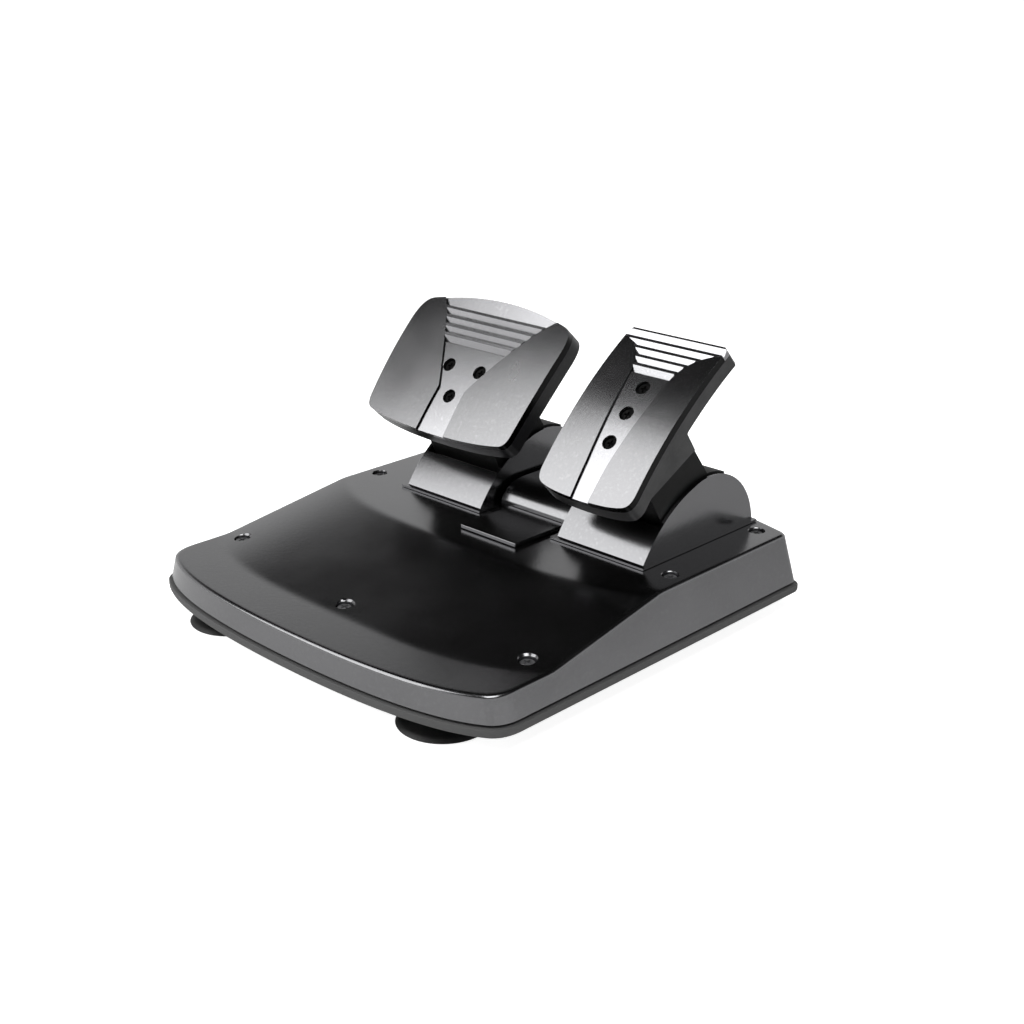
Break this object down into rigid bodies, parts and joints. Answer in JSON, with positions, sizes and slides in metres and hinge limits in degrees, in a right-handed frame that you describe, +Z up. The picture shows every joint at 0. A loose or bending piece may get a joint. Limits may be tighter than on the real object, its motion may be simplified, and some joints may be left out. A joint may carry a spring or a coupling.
{
  "type": "racing pedal unit",
  "caption": "Floor pedal unit for driving games: a wedge base on suction cups with a wide brake pedal and a narrow accelerator, each sprung and hinged in its own housing.",
  "frame": {"origin": "centre of the bounding box on the floor plane that the suction cups rest on", "axes": "+X to the driver's right, +Y away from the driver, +Z up"},
  "size_m": [0.253, 0.2644, 0.1445],
  "materials": {
    "cover_plastic": "fine-grained dark silver-grey paint on moulded plastic",
    "tray_plastic": "dark grey moulded plastic, lightly grained",
    "rubber": "soft black rubber",
    "screw_steel": "dark plated steel",
    "circuit_board": "green solder mask",
    "inner_plastic": "satin black moulded plastic",
    "bush_brass": "turned brass",
    "shell_plastic": "dark grey satin moulded plastic",
    "face_plate": "silver paint with a fine sparkle",
    "insert_strip": "pale silver metallised plastic"
  },
  "bodies": {
    "base": {"base_plate": "tray_plastic", "top_cover": "cover_plastic", "brake_housing": "cover_plastic", "accelerator_housing": "cover_plastic", "centre_bridge": "cover_plastic", "centre_plate": "tray_plastic", "cover_screw_1": "screw_steel", "cover_screw_2": "screw_steel", "cover_screw_3": "screw_steel", "cover_screw_4": "screw_steel", "cover_screw_5": "screw_steel", "cover_screw_6": "screw_steel", "cover_screw_7": "screw_steel", "suction_cup_1": "rubber", "suction_cup_2": "rubber", "suction_cup_3": "rubber", "suction_cup_4": "rubber", "cable_grommet": "rubber", "circuit_board": "circuit_board", "sensor_bracket": "inner_plastic", "brake_left_bush": "bush_brass", "brake_right_bush": "bush_brass", "brake_sensor": "inner_plastic", "brake_return_spring": "screw_steel", "brake_stop": "rubber", "accelerator_left_bush": "bush_brass", "accelerator_right_bush": "bush_brass", "accelerator_sensor": "inner_plastic", "accelerator_return_spring": "screw_steel", "accelerator_stop": "rubber"},
    "brake_pedal": {"brake_arm": "inner_plastic", "brake_shell": "shell_plastic", "brake_left_plate": "face_plate", "brake_right_plate": "face_plate", "brake_insert": "insert_strip", "brake_face_screw_1": "screw_steel", "brake_face_screw_2": "screw_steel", "brake_face_screw_3": "screw_steel", "brake_shaft": "screw_steel", "brake_toothed_sector": "inner_plastic"},
    "brake_pinion": {"brake_sensor_pinion": "inner_plastic"},
    "accelerator_pedal": {"accelerator_arm": "inner_plastic", "accelerator_shell": "shell_plastic", "accelerator_left_plate": "face_plate", "accelerator_right_plate": "face_plate", "accelerator_insert": "insert_strip", "accelerator_face_screw_1": "screw_steel", "accelerator_face_screw_2": "screw_steel", "accelerator_face_screw_3": "screw_steel", "accelerator_shaft": "screw_steel", "accelerator_toothed_sector": "inner_plastic"},
    "accelerator_pinion": {"accelerator_sensor_pinion": "inner_plastic"}
  },
  "joints": [
    {"name": "brake_pivot", "type": "hinge", "parent": "base", "child": "brake_pedal", "pos_m": [-0.0503, 0.07675, 0.039], "axis": [-1, 0, 0], "range_deg": [0, 16], "stiffness_Nm_per_rad": 5, "springref_deg": -14.32, "deforming": ["brake_return_spring"]},
    {"name": "brake_sensor_turn", "type": "hinge", "parent": "base", "child": "brake_pinion", "pos_m": [-0.013, 0.04621, 0.02788], "axis": [-1, 0, 0], "range_deg": [-54, 1]},
    {"name": "accelerator_pivot", "type": "hinge", "parent": "base", "child": "accelerator_pedal", "pos_m": [0.0646, 0.07675, 0.039], "axis": [-1, 0, 0], "range_deg": [0, 20], "stiffness_Nm_per_rad": 2.5, "springref_deg": -17.19, "deforming": ["accelerator_return_spring"]},
    {"name": "accelerator_sensor_turn", "type": "hinge", "parent": "base", "child": "accelerator_pinion", "pos_m": [0.0273, 0.04621, 0.02788], "axis": [-1, 0, 0], "range_deg": [-68, 1]}
  ],
  "couplings": [
    {"joint": "brake_sensor_turn", "follows": "brake_pivot", "ratio": -3.3333},
    {"joint": "accelerator_sensor_turn", "follows": "accelerator_pivot", "ratio": -3.3333}
  ]
}
